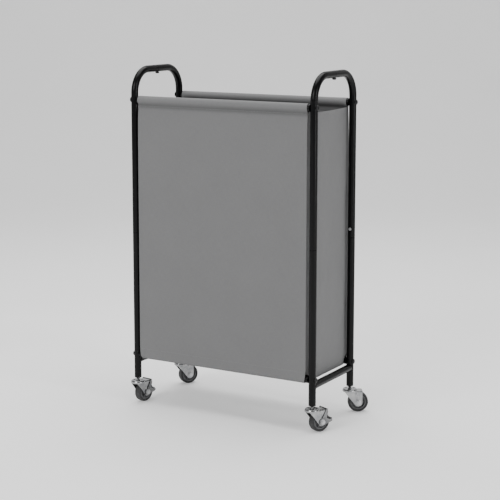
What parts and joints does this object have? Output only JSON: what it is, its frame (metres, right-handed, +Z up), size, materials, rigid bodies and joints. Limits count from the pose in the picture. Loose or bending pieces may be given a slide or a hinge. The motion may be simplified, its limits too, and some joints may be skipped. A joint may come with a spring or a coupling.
{
  "type": "laundry sorter",
  "caption": "Rolling laundry sorter: a tube frame with arched ends on swivel casters, holding a tall fabric bag divided into compartments.",
  "frame": {"origin": "on the floor, under the middle of the whole object's box", "axes": "+Z up; +X to the sorter's right seen from the front; the front faces -Y"},
  "size_m": [0.549, 0.2566, 0.837],
  "materials": {
    "black_powder_coat": "semi-gloss black powder coat",
    "black_screws": "black zinc screws, semi-gloss",
    "zinc_plate": "bright zinc-plated pressed steel",
    "bare_steel": "plated steel, satin",
    "tyre_rubber": "dark grey rubber, slightly worn tread",
    "hub_plastic": "grey moulded plastic",
    "bag_fabric": "mid-grey woven Oxford polyester, coated inside"
  },
  "bodies": {
    "frame": {"arch_tube_front_left": "black_powder_coat", "lower_post_front_left": "black_powder_coat", "arch_tube_front_right": "black_powder_coat", "lower_post_front_right": "black_powder_coat", "arch_tube_rear_left": "black_powder_coat", "lower_post_rear_left": "black_powder_coat", "arch_tube_rear_right": "black_powder_coat", "lower_post_rear_right": "black_powder_coat", "crossbar_left": "black_powder_coat", "arch_screw_left": "black_screws", "crossbar_right": "black_powder_coat", "arch_screw_right": "black_screws", "top_rail_front": "black_powder_coat", "rail_screw_top_front_left": "black_screws", "rail_screw_top_front_right": "black_screws", "top_rail_rear": "black_powder_coat", "rail_screw_top_rear_left": "black_screws", "rail_screw_top_rear_right": "black_screws", "bottom_rail_front": "black_powder_coat", "rail_screw_bottom_front_left": "black_screws", "rail_screw_bottom_front_right": "black_screws", "bottom_rail_rear": "black_powder_coat", "rail_screw_bottom_rear_left": "black_screws", "rail_screw_bottom_rear_right": "black_screws", "caster_stem_front_left": "zinc_plate", "caster_stem_front_right": "zinc_plate", "caster_stem_rear_left": "zinc_plate", "caster_stem_rear_right": "zinc_plate", "bag_front_panel": "bag_fabric", "bag_back_panel": "bag_fabric", "bag_gusset_left": "bag_fabric", "bag_gusset_right": "bag_fabric", "bag_divider_left": "bag_fabric", "bag_divider_right": "bag_fabric", "bag_bottom": "bag_fabric"},
    "swivel_front_left": {"caster_fork_front_left": "zinc_plate", "caster_axle_front_left": "bare_steel", "brake_leaf_front_left": "bare_steel"},
    "wheel_front_left": {"wheel_hub_front_left": "hub_plastic", "tyre_front_left": "tyre_rubber"},
    "button_front_left": {"spring_button_front_left": "bare_steel"},
    "pedal_front_left": {"brake_pedal_front_left": "zinc_plate"},
    "swivel_front_right": {"caster_fork_front_right": "zinc_plate", "caster_axle_front_right": "bare_steel", "brake_leaf_front_right": "bare_steel"},
    "wheel_front_right": {"wheel_hub_front_right": "hub_plastic", "tyre_front_right": "tyre_rubber"},
    "button_front_right": {"spring_button_front_right": "bare_steel"},
    "pedal_front_right": {"brake_pedal_front_right": "zinc_plate"},
    "swivel_rear_left": {"caster_fork_rear_left": "zinc_plate", "caster_axle_rear_left": "bare_steel"},
    "wheel_rear_left": {"wheel_hub_rear_left": "hub_plastic", "tyre_rear_left": "tyre_rubber"},
    "button_rear_left": {"spring_button_rear_left": "bare_steel"},
    "swivel_rear_right": {"caster_fork_rear_right": "zinc_plate", "caster_axle_rear_right": "bare_steel"},
    "wheel_rear_right": {"wheel_hub_rear_right": "hub_plastic", "tyre_rear_right": "tyre_rubber"},
    "button_rear_right": {"spring_button_rear_right": "bare_steel"}
  },
  "joints": [
    {"name": "swivel_turn_front_left", "type": "hinge", "parent": "frame", "child": "swivel_front_left", "pos_m": [-0.25649, -0.11012, 0.055], "axis": [0, 0, 1], "continuous": true},
    {"name": "wheel_roll_front_left", "type": "hinge", "parent": "swivel_front_left", "child": "wheel_front_left", "pos_m": [-0.25336, -0.09037, 0.025], "axis": [-0.9877, 0.1564, 0], "continuous": true},
    {"name": "brake_press_front_left", "type": "hinge", "parent": "swivel_front_left", "child": "pedal_front_left", "pos_m": [-0.25336, -0.09037, 0.025], "axis": [-0.9877, 0.1564, 0], "range_deg": [0, 18]},
    {"name": "button_press_front_left", "type": "slide", "parent": "frame", "child": "button_front_left", "axis": [0, -1, 0], "range_m": [0, 0.0028], "stiffness_N_per_m": 2500},
    {"name": "swivel_turn_front_right", "type": "hinge", "parent": "frame", "child": "swivel_front_right", "pos_m": [0.23352, -0.11012, 0.055], "axis": [0, 0, 1], "continuous": true},
    {"name": "wheel_roll_front_right", "type": "hinge", "parent": "swivel_front_right", "child": "wheel_front_right", "pos_m": [0.24244, -0.09222, 0.025], "axis": [-0.8949, 0.4462, 0], "continuous": true},
    {"name": "brake_press_front_right", "type": "hinge", "parent": "swivel_front_right", "child": "pedal_front_right", "pos_m": [0.24244, -0.09222, 0.025], "axis": [-0.8949, 0.4462, 0], "range_deg": [0, 18]},
    {"name": "button_press_front_right", "type": "slide", "parent": "frame", "child": "button_front_right", "axis": [0, -1, 0], "range_m": [0, 0.0028], "stiffness_N_per_m": 2500},
    {"name": "swivel_turn_rear_left", "type": "hinge", "parent": "frame", "child": "swivel_rear_left", "pos_m": [-0.25649, 0.08688, 0.055], "axis": [0, 0, 1], "continuous": true},
    {"name": "wheel_roll_rear_left", "type": "hinge", "parent": "swivel_rear_left", "child": "wheel_rear_left", "pos_m": [-0.24604, 0.10393, 0.025], "axis": [-0.8526, 0.5225, 0], "continuous": true},
    {"name": "button_press_rear_left", "type": "slide", "parent": "frame", "child": "button_rear_left", "axis": [0, 1, 0], "range_m": [0, 0.0028], "stiffness_N_per_m": 2500},
    {"name": "swivel_turn_rear_right", "type": "hinge", "parent": "frame", "child": "swivel_rear_right", "pos_m": [0.23352, 0.08688, 0.055], "axis": [0, 0, 1], "continuous": true},
    {"name": "wheel_roll_rear_right", "type": "hinge", "parent": "swivel_rear_right", "child": "wheel_rear_right", "pos_m": [0.25029, 0.09777, 0.025], "axis": [-0.5446, 0.8387, 0], "continuous": true},
    {"name": "button_press_rear_right", "type": "slide", "parent": "frame", "child": "button_rear_right", "axis": [0, 1, 0], "range_m": [0, 0.0028], "stiffness_N_per_m": 2500}
  ]
}
